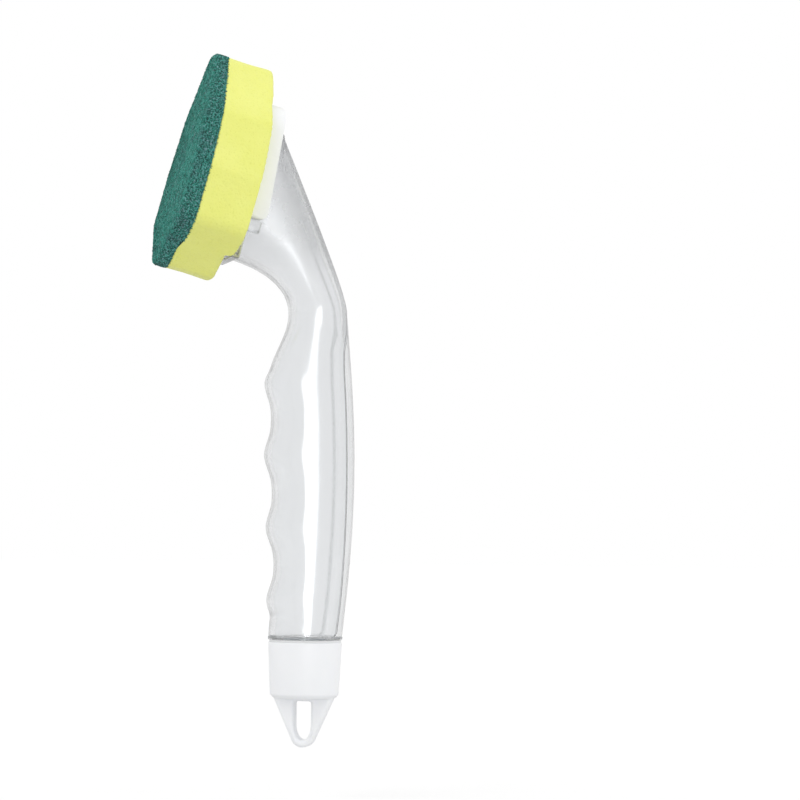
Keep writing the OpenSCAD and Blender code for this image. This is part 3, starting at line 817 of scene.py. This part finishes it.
spout_ridge_inputs = ridge_inputs(SPOUT_R - 0.4, SPOUT_R + THREAD_H, SPOUT_LOW_Z + RIDGE_ROOT_W, clear_styrene)
thread_ridges, given = new_geometry_tree("thread_ridges", spout_ridge_inputs)
tree = thread_ridges
bar = new_value(tree, "GeometryNodeMeshCylinder", "Mesh", {
    "Vertices": 4, "Side Segments": 72, "Radius": 1.0, "Depth": 1.0}, fill_type="NGON")
place = new_value(tree, "GeometryNodeInputPosition", 0)
corner_x, corner_y, corner_z = (part_of_vector(place, axis) for axis in "XYZ")
share = corner_z + 0.5
outer_side = (corner_x + corner_y).math("GREATER_THAN")
upper_side = (corner_x - corner_y).math("GREATER_THAN")
run_in = ranged(share, 0.0, 0.08, 0.05, 1.0, "SMOOTHSTEP")
run_out = ranged(share, 0.92, 1.0, 1.0, 0.05, "SMOOTHSTEP")
distance = mix(given("Root Radius"), given("Crest Radius"), outer_side * (run_in * run_out))
wide = mix(given("Root Width"), given("Crest Width"), outer_side)
turns = share * given("Turns")
angle = turns * (2 * pi)
height = given("Low End") + turns * given("Lead") + (upper_side - 0.5) * wide
helix = shifted(bar, Position=vector_of(
    X=distance * angle.math("COSINE"), Y=distance * angle.math("SINE"), Z=height))
places = new_value(tree, "GeometryNodeMeshLine", "Mesh", {"Count": given("Starts"), "Offset": (0.0, 0.0, 0.0)})
start_angle = new_value(tree, "GeometryNodeInputIndex", 0) / given("Starts") * (2 * pi)
start_turn = new_value(tree, "FunctionNodeEulerToRotation", 0, {0: vector_of(Z=start_angle)})
copies = new_value(tree, "GeometryNodeInstanceOnPoints", 0, {
    "Points": places, "Instance": helix, "Rotation": start_turn})
hand_out(given, new_value(tree, "GeometryNodeRealizeInstances", 0, {"Geometry": copies}))
spout_ridges = run_geometry_tree(new_piece("spout_ridges", [], [], clear_styrene), thread_ridges, spout_ridge_inputs)
face_outwards(spout_ridges.data)
print_size(spout_ridges)

# %% [markdown]
# ## Filler spout
# The back cover carries the floor disc and the threaded spout below it, which the soap is poured through. Disc and
# spout are one turned outline with softened edges, and the ridges are joined to it. The weld runs on round the disc's
# upper rim, under the front shell, so the rim's rounding has the weld's finish, with a larger frosted share that is
# painted shade of the groove there.

# %% Back cover, floor disc and spout
spout_profile = rounded(
    [(SPOUT_BORE / 2, SPOUT_LOW_Z), (SPOUT_R, SPOUT_LOW_Z), (SPOUT_R, FLOOR_LOW_Z), (HANDLE_R + 0.2, FLOOR_LOW_Z),
     (HANDLE_R + 0.2, FLOOR_TOP_Z), (SPOUT_BORE / 2, FLOOR_TOP_Z)], [0.4, 0.4, 0.3, 0.15, RIM_ROUND, 0.4])
spout = lathed("spout", spout_profile, clear_styrene)
back_wall.name = "back_cover"
combined(back_wall, [spout, spout_ridges])
weld_and_shade_slot = back_wall.data.materials.find(frosted_weld_and_shade.name)
frost_and_shade_values = back_wall.data.attributes["frost_and_shade"].data
# The disc's rim takes the weld finish with a large frosted share, painted shade of the groove under the front shell.
for polygon in back_wall.data.polygons:
    x, y, z = polygon.center / MM
    if hypot(x, y) > HANDLE_R - 0.3 and FLOOR_TOP_Z - RIM_ROUND < z < FLOOR_TOP_Z:
        polygon.material_index, frost_and_shade_values[polygon.index].value = weld_and_shade_slot, RIM_FROST_AND_SHADE
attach(back_wall, "handle")
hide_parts("back_shell")
print_size(back_wall)

# %% [markdown]
# ## Valve and washer
# The slit valve keeps its CAD shape, which is right as it is, and gets the silicone's material. The washer is a plain
# ring in the CAD model. It shows as a light band above the cap, so it is turned again here with the soft edges that
# pressed rubber has.

# %% Valve and washer
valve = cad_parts["outlet_valve"]
for slot in valve.material_slots:
    slot.link = "OBJECT"
    slot.material = milky_silicone
WASHER_OUT, WASHER_T = CAP_D / 2 - 0.35, 0.8
washer = lathed("seal_ring", rounded(
    [(CAP_BORE_R, CAP_TOP_Z), (WASHER_OUT, CAP_TOP_Z), (WASHER_OUT, CAP_TOP_Z + WASHER_T),
     (CAP_BORE_R, CAP_TOP_Z + WASHER_T)], [0.2, 0.2, 0.12, 0.2]), milky_silicone)
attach(washer, "washer")
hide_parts("cap_washer")
print_size(washer)

# %% [markdown]
# ## Screw cap with its hang loop
# The barrel is turned from an outline with a rounded rim and a soft shoulder, because a mould never leaves a sharp
# corner. The loop is a tapered tongue, 8 mm thick, with a slot that is square above and pointed below. It's drawn as
# a stack of outlines whose edges turn over by a quarter circle, more than the barrel's do, since it's held and hung
# up. With the cap tight it stands 22 degrees out of the wand's middle plane, as a screw cap stops where its thread
# says. Barrel, loop and inner thread are one moulding.

# %% Screw cap
cap_profile = rounded(
    [(0.0, CAP_LOW_Z), (CAP_LOW_D / 2 - 1.2, CAP_LOW_Z), (CAP_LOW_D / 2, CAP_LOW_Z + 1.2), (CAP_D / 2, CAP_TOP_Z),
     (CAP_BORE_R, CAP_TOP_Z), (CAP_BORE_R, CAP_LOW_Z + CAP_FLOOR), (0.0, CAP_LOW_Z + CAP_FLOOR)],
    [0, 1.0, 1.4, 0.5, 0.4, 0.8, 0])
cap = lathed("screw_cap", cap_profile, white_polypropylene)
tip_r = SLOT_W / 2 + 1
tip_z, root_z = -SLOT_H / 2 - LOOP_WEB + tip_r, CAP_LOW_Z + CAP_FLOOR / 2
flank = atan((LOOP_ROOT_W / 2 - tip_r) / (root_z - tip_z))
tongue = [(LOOP_ROOT_W / 2, root_z), (-LOOP_ROOT_W / 2, root_z)]
tongue += [(tip_r * cos(a), tip_z + tip_r * sin(a))
           for a in np.linspace(-pi + flank, -flank, 25)]
slot_turn = -SLOT_H / 10
slot_outline = rounded([(SLOT_W / 2, SLOT_H / 2), (-SLOT_W / 2, SLOT_H / 2), (-SLOT_W / 2, slot_turn),
                        (SLOT_W / 2, slot_turn)], [1, 1, 0, 0])[:-1]
slot_outline += [(SLOT_W / 2 * cos(a), slot_turn + (SLOT_H / 2 + slot_turn) * sin(a))
                 for a in np.linspace(-pi, 0, 25)[1:]]
LOOP_ROUND, LOOP_STEPS = 1.25, 180


def seen_outline(corners, grown):
    """A convex outline, grown or shrunk, as evenly turned points round the slot's middle."""
    ring = np.array(corners + corners[:1], float) - (0, slot_turn)
    step = unit(np.diff(ring, axis=0))
    outward = np.column_stack([step[:, 1], -step[:, 0]])
    turned = np.linspace(0, 2 * pi, LOOP_STEPS, endpoint=False)
    direction = np.column_stack([np.cos(turned), np.sin(turned)])
    facing = np.maximum(outward @ direction.T, 1e-6)
    reach = (np.sum(outward * ring[:-1], axis=1) + grown)[:, None] / facing
    return direction * reach.min(axis=0)[:, None] + (0, slot_turn)


side_levels = [(LOOP_T / 2 - LOOP_ROUND * (1 - sin(a)), LOOP_ROUND * (1 - cos(a)))
               for a in np.radians(np.linspace(0, 90, 8))]
loop_levels = [(-depth, drawn_in) for depth, drawn_in in reversed(side_levels)] + side_levels
rings = [(x, z, depth) for corners, sign in ((tongue, -1), (slot_outline, 1)) for depth, drawn_in in loop_levels
         for x, z in seen_outline(corners, sign * drawn_in)]
n, count = LOOP_STEPS, len(loop_levels)
loop_faces = stitched(2 * count, n)
del loop_faces[(count - 1) * n:count * n]
for level in (0, count - 1):
    out, inner = level * n, (count + level) * n
    loop_faces += [(out + j, out + (j + 1) % n, inner + (j + 1) % n, inner + j) for j in range(n)]
loop = new_piece("loop", rings, loop_faces, white_polypropylene)
SIDEWAYS = Matrix(((0, 0, 1, 0), (1, 0, 0, 0), (0, 1, 0, 0), (0, 0, 0, 1)))
loop.data.transform(Matrix.Rotation(-LOOP_TURN, 4, "Z") @ SIDEWAYS)
cap_ridges = run_geometry_tree(new_piece("cap_ridges", [], [], white_polypropylene), thread_ridges, ridge_inputs(
    CAP_BORE_R + 0.4, CAP_BORE_R - THREAD_H, SPOUT_LOW_Z + RIDGE_ROOT_W + THREAD_LEAD / THREAD_STARTS / 2,
    white_polypropylene))
face_outwards(cap_ridges.data)
combined(cap, [loop, cap_ridges])
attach(cap, "cap")
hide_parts("end_cap")
print_size(cap)

# %% [markdown]
# ## Refill clip
# The white clip slides on to the head's flange: a base plate with the soap hole, two side walls whose lips reach over
# the flange, and a closed upper end. It is cut from one rounded block, as the mould's core cuts it.

# %% Refill clip
HOLDER_H, HOLDER_TOP_H, HOLDER_WALL, HOLDER_END, HOLDER_ROUND, SOAP_HOLE_D = 10.7, 6.9, 1.9, 4.2, 2.8, 14
socket_high = MOUTH_HIGH + FLANGE_ENDS + SLIDE_GAP
outer_w = FLANGE_W + 2 * (SLIDE_GAP + HOLDER_WALL)
clip_high = socket_high + HOLDER_END
clip = head_plate("refill_clip", round_top(outer_w, -HOLDER_LOW, clip_high, HOLDER_CORNER + HOLDER_WALL, 1.2), 0,
                  HOLDER_H + 1, white_polypropylene)
side_view = rounded([(-HOLDER_LOW, 0), (-HOLDER_LOW, -HOLDER_H), (clip_high, -HOLDER_TOP_H), (clip_high, 0)],
                    [0, HOLDER_ROUND, HOLDER_ROUND, 0], steps=10)
side_block = prism("side_view", side_view, -outer_w / 2 - 1, outer_w / 2 + 1, white_polypropylene)
side_block.data.transform(SIDEWAYS)
bevelled(combined(clip, [side_block], "INTERSECT"), 0.9, 4)
below = -HOLDER_LOW - 2
socket_cut = head_plate("socket", round_top(FLANGE_W + 2 * SLIDE_GAP, below, socket_high, HOLDER_CORNER),
                        BASE_T, LIP_V, white_polypropylene)
gap_w = MOUTH_W + 2 * SLIDE_GAP
throat_cut = head_plate("throat", round_top(gap_w, below, socket_high, gap_w / 2 - 1), BASE_T + 1, HOLDER_H + 2,
                        white_polypropylene)
hole_cut = head_plate("soap_hole", circle(SOAP_HOLE_D / 2), -1, BASE_T + 1, white_polypropylene)
combined(clip, [socket_cut, throat_cut, hole_cut], "DIFFERENCE")
stand_up(clip)
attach(clip, "refill_head")
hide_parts("sponge_holder")
print_size(clip)

# %% [markdown]
# ## Foam block
# The foam is a shield-shaped slab, glued to the clip behind and to the scrub web in front. Both glued faces hold it
# flat, the free sides pull in slightly between them, and the back edge is soft. Beside the clip nothing holds the
# foam, and there it swells back by up to 4 mm, which the photograph shows as a bowed back edge. It stays flat on the
# strip below the clip too, because that strip passes over the flange when a refill slides on. The outline becomes a
# fine even mesh by voxel remeshing, which also rounds the cut edges as foam's are. A Geometry Nodes tree then presses
# pores into the skin: it reads a cell pattern and moves each point inwards near the middle of a cell.

# %% Sponge outline and foam block
SPONGE_L, FOAM_T, PAD_T, SPONGE_CORNER = 79, 17, 4.5, 6
half_outline = [(5, -39.5), (29.5, -23.5), (29.5, -3.5), (24.5, 17.5), (5.5, 39.5)]
sponge_corners = half_outline + [(-x, u) for x, u in reversed(half_outline)]
sponge_outline = rounded(sponge_corners, [SPONGE_CORNER] * len(sponge_corners), steps=10)


def even_outline(outline, count):
    """The same closed outline with evenly spaced points."""
    return [tuple(p) for p in evenly(np.array(outline + outline[:1]), count, endpoint=False)]


def layered(name, outline, heights, shrink, material):
    """A slab from a stack of outlines, each drawn in towards the middle by its own distance."""
    n = len(outline)
    ring = np.array(outline)
    tangent = np.roll(ring, -1, 0) - np.roll(ring, 1, 0)
    inward = unit(np.column_stack([-tangent[:, 1], tangent[:, 0]]))
    points = [(*p, h) for h, s in zip(heights, shrink) for p in ring + inward * s]
    ends = [tuple(range(n)), tuple(range(n * (len(heights) - 1), n * len(heights)))]
    return new_piece(name, points, stitched(len(heights), n) + ends, material)


BACK_SWELL = 3.9
clip_half = [(15.6, -31.1), (17.1, -29.8), (19.8, -15.6), (19.8, 16.2), (16.8, 24), (9, 27.2)]
slide_half = [(17.3, -45), (17.3, -29)]
held_outlines = [half + [(-x, u) for x, u in reversed(half)] for half in (clip_half, slide_half)]


def inside_distance(points, corners):
    """How far each point lies inside a convex outline. Outside it is negative."""
    ring = np.array(corners + corners[:1], float)
    steps = unit(np.diff(ring, axis=0))
    return np.min([(points - corner) @ (-step[1], step[0]) for corner, step in zip(ring, steps)], axis=0)


def swell(piece):
    """Swells the sides back round the clip, most behind the middle and not at all on the scrub face."""
    points = np.empty(len(piece.data.vertices) * 3)
    piece.data.vertices.foreach_get("co", points)
    flat, height = points.reshape(-1, 3)[:, :2] / MM, points[2::3] / MM
    clear_of_clip = np.maximum(-np.max([inside_distance(flat, corners) for corners in held_outlines], axis=0), 0)
    to_rim = np.maximum(inside_distance(flat, sponge_corners), 0)
    upper_end = 1 - np.clip(1 - (SPONGE_L / 2 - flat[:, 1]) / 48, 0, 1) ** 2.5
    lower_end = np.clip((flat[:, 1] + SPONGE_L / 2 + 1) / 9, 0, 1)
    amount = BACK_SWELL * clear_of_clip / (clear_of_clip + to_rim + 0.1) * upper_end * lower_end
    points[2::3] -= amount * np.interp(height, [0, FOAM_T, FOAM_T + PAD_T], [1, 0.4, 0]) * MM
    piece.data.vertices.foreach_set("co", points)
    print(piece.name, "swells back by up to", round(float(amount.max()), 1), "mm")


edge_heights = [0, 0.3, 0.7, 1.2, 1.8, 2.6]
edge_shrink = [0.6, 0.3, 0.12, 0.06, 0.03, 0.03]
foam_block = layered("foam_slab", even_outline(sponge_outline, 240), edge_heights + [6, 10, 14, FOAM_T],
                     edge_shrink + [0.2, 0.3, 0.2, 0.1], yellow_foam)
fine = foam_block.modifiers.new("even_mesh", "REMESH")
fine.mode, fine.voxel_size = "VOXEL", 0.62 * MM
bake_modifiers(foam_block, 180)
swell(foam_block)
pore_inputs = {"Pore Spacing": 2.3 * MM, "Pore Depth": 0.32 * MM, "Material": yellow_foam}
tree, given = new_geometry_tree("foam_pores", pore_inputs)
place, normal = (new_value(tree, f"GeometryNodeInput{kind}", 0) for kind in ("Position", "Normal"))
per_metre = new_value(tree, "ShaderNodeMath", 0, {0: 1.0, 1: given("Pore Spacing")}, operation="DIVIDE")
pattern = new_value(tree, "ShaderNodeTexVoronoi", "Distance", {"Vector": place, "Scale": per_metre})
depth = ranged(pattern, 0.0, 0.3, -1.0, 0.0, "SMOOTHSTEP") * given("Pore Depth")
press = new_value(tree, "ShaderNodeVectorMath", 0, {0: normal, "Scale": depth}, operation="SCALE")
hand_out(given, shifted(given("Geometry"), Offset=press))
run_geometry_tree(foam_block, tree, pore_inputs, 180)
stand_up(foam_block)
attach(foam_block, "refill_head")
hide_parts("foam_block")
print_size(foam_block)

# %% [markdown]
# ## Scrub web
# The web is a thin slab with thousands of bent fibres on its face and its cut edge. Geometry Nodes scatter points over
# it, lay a short arc of fibre on each, turned and tipped at random, give each its own tone, and turn the copies into
# real mesh. A fibre of such a web is about 0.05 mm thick. It's drawn at 0.24 mm, so that the web shows as fibrous at
# the photograph's size.

# %% Scrub web slab and fibres
WEB_FACE = FOAM_T + PAD_T + 0.25
web_heights = [*(FOAM_T + h for h in (0, 0.8, 1.6, 2.4, 3.3, 4.0, 4.4)), WEB_FACE]
scrub_web = layered("scrub_web_layer", even_outline(sponge_outline, 200), web_heights,
                    [0.1, 0.0, 0.05, 0.05, 0.1, 0.3, 0.6, 1.2], green_web)
swell(scrub_web)
for polygon in scrub_web.data.polygons:
    polygon.use_smooth = True
store(scrub_web, "tone", "FLOAT", "POINT", [0.3] * len(scrub_web.data.vertices))
from_face = [WEB_FACE - vertex.co.z / MM for vertex in scrub_web.data.vertices]
store(scrub_web, "cut", "FLOAT", "POINT", [min(max(depth, 0) / 0.7, 1) for depth in from_face])
store(scrub_web, "loose", "BOOLEAN", "FACE", [abs(p.normal.z) < 0.7 or p.center.z > (FOAM_T + 1) * MM
                                              for p in scrub_web.data.polygons])
fibre_inputs = {"Fibres per Area": 3.2 / MM ** 2, "Fibre Length": 1.4 * MM,
                "Fibre Thickness": 0.24 * MM, "Bend": radians(75), "Seed": 7, "Material": green_web}
tree, given = new_geometry_tree("web_fibres", fibre_inputs)
spots = add_node(tree, "GeometryNodeDistributePointsOnFaces", {
    "Mesh": given("Geometry"), "Selection": named(tree, "loose", "BOOLEAN"), "Density": given("Fibres per Area"),
    "Seed": given("Seed")})
radius = given("Fibre Length") / given("Bend")
bow = new_value(tree, "GeometryNodeCurveArc", "Curve", {
    "Resolution": 3, "Radius": radius, "Start Angle": given("Bend") * -0.5, "Sweep Angle": given("Bend")},
    mode="RADIUS")
middled = new_value(tree, "GeometryNodeTransform", 0, {
    "Geometry": bow, "Translation": vector_of(X=radius * -1.0)})
section = new_value(tree, "GeometryNodeCurvePrimitiveCircle", "Curve", {
    "Resolution": 3, "Radius": given("Fibre Thickness") * 0.5})
strand = new_value(tree, "GeometryNodeCurveToMesh", "Mesh", {"Curve": middled, "Profile Curve": section})
turned = new_value(tree, "FunctionNodeRandomValue", "Value", {
    "Min": (-0.1, -0.1, 0.0), "Max": (0.1, 0.1, 2 * pi), "Seed": 11}, data_type="FLOAT_VECTOR")
laid = new_value(tree, "FunctionNodeRotateRotation", "Rotation", {
    "Rotation": spots.outputs["Rotation"], "Rotate By": turned}, rotation_space="LOCAL")
length, own_tone = (new_value(tree, "FunctionNodeRandomValue", 1, {2: low, 3: high, "Seed": seed}, data_type="FLOAT")
                    for low, high, seed in ((0.6, 1.25, 12), (0.0, 0.75, 13)))
copies = new_value(tree, "GeometryNodeInstanceOnPoints", "Instances", {
    "Points": spots.outputs["Points"], "Instance": strand, "Rotation": laid, "Scale": length})
toned = new_value(tree, "GeometryNodeStoreNamedAttribute", 0, {
    "Geometry": copies, "Name": "tone", "Value": own_tone}, data_type="FLOAT", domain="INSTANCE")
both = add_node(tree, "GeometryNodeJoinGeometry")
for geometry in (given("Geometry"), toned):
    tree.links.new(geometry.socket, both.inputs[0])
hand_out(given, new_value(tree, "GeometryNodeRealizeInstances", 0, {"Geometry": both.outputs[0]}))
run_geometry_tree(scrub_web, tree, fibre_inputs)
stand_up(scrub_web)
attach(scrub_web, "refill_head")
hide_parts("scrub_pad")
print_size(scrub_web)

# %% [markdown]
# ## Floor, world and light
# The photograph is a cut-out on white: behind the wand it's pure white, but what shows through the plastic and in its
# reflections is the pale grey of the studio. The floor and the world do the same. The camera sees them white, a ray
# that the plastic has passed on or reflected sees them grey, and the rest are lit at a plain level. The floor keeps
# the wand's soft shadow. It lies 18 mm below the loop, so that the cap has room to come down by 16 mm as it's
# unscrewed. A wide softbox beside the camera makes the upright light band on the grip. Two fill lamps, one high in
# front and one behind on the right, give the white parts and the foam their shading, and aren't mirrored in the
# plastic.

# %% Floor
STUDIO_GREY = 0.83
FLOOR_LIT = (0.69, 0.62)
CAP_ROOM = 18
floor_z = min(cad_box[0].z, cad_box[1].z) - CAP_ROOM * MM
floor_mesh = bpy.data.meshes.new("floor")
floor_mesh.from_pydata([(x, y, floor_z) for x, y in ((-6, -6), (6, -6), (6, 6), (-6, 6))], [], [(0, 1, 2, 3)])
floor = bpy.data.objects.new("floor", floor_mesh)
bpy.context.scene.collection.objects.link(floor)
pale_floor, place = new_material("pale_studio_floor")
tree = place.tree
away = new_value(tree, "ShaderNodeVectorMath", "Value", {0: place}, operation="LENGTH")
lit = ranged(away, 0.3, 2.0, *FLOOR_LIT, "SMOOTHSTEP")


def shown_level(tree, unseen):
    """White for the camera, the studio's grey for a ray that a reflection or the plastic passes on, or else unseen."""
    passed = is_ray(tree, "Glossy").math("MAXIMUM", is_ray(tree, "Transmission"))
    second = new_value(tree, "ShaderNodeMix", 0, {0: passed, 2: unseen, 3: STUDIO_GREY})
    return new_value(tree, "ShaderNodeMix", 0, {0: is_ray(tree, "Camera"), 2: second, 3: 1.0})


strength = new_value(tree, "ShaderNodeMath", 0, {0: shown_level(tree, 0.0), 1: lit}, operation="SUBTRACT",
                     use_clamp=True)
matt = new_value(tree, "ShaderNodeBsdfDiffuse", 0, {"Color": linear("#d8d8d8")})
glow = new_value(tree, "ShaderNodeEmission", 0, {"Color": linear("#ffffff"), "Strength": strength})
finished(pale_floor, new_value(tree, "ShaderNodeAddShader", 0, {0: matt, 1: glow}))
floor_mesh.materials.append(pale_floor)
print("floor at", round(floor_z / MM, 1), "mm")

# %% World
world = bpy.data.worlds.new("white_studio")
bpy.context.scene.world = world
world.use_nodes = True
tree = world.node_tree
tree.nodes.clear()
direction = new_value(tree, "ShaderNodeTexCoord", "Generated")
sky = ranged(part_of_vector(direction, "Z"), -0.6, 0.8, 0.68, 0.96)
white = new_value(tree, "ShaderNodeBackground", 0, {"Color": linear("#ffffff"), "Strength": shown_level(tree, sky)})
add_node(tree, "ShaderNodeOutputWorld", {"Surface": white})
print("world:", len(tree.nodes), "nodes")

# %% Lamps
def softbox(name, centre, target, width, height, radiance):
    """A rectangular lamp that faces the target. Its power follows from how bright its face is to look."""
    lamp = bpy.data.lights.new(name, "AREA")
    lamp.shape, lamp.size, lamp.size_y = "RECTANGLE", width, height
    lamp.energy = radiance * pi * width * height
    stand = bpy.data.objects.new(name, lamp)
    bpy.context.scene.collection.objects.link(stand)
    stand.location = centre
    stand.rotation_euler = (Vector(centre) - Vector(target)).to_track_quat("Z", "Y").to_euler()
    return stand


softbox("band_softbox", (1.49, -0.13, 0.12), WAND_MIDDLE, 0.56, 0.36, 4.2)
for fill in (softbox("high_softbox", (0.3, -1.2, 1.4), WAND_MIDDLE, 1.0, 1.0, 1.2),
             softbox("right_softbox", (0.7, 1.5, 0.6), WAND_MIDDLE, 0.8, 0.8, 1.6)):
    fill.visible_glossy = fill.visible_transmission = False

# %% [markdown]
# ## View settings
# Colours are shown as they are, with the Standard view.

# %% Finish
bpy.context.scene.view_settings.view_transform = "Standard"
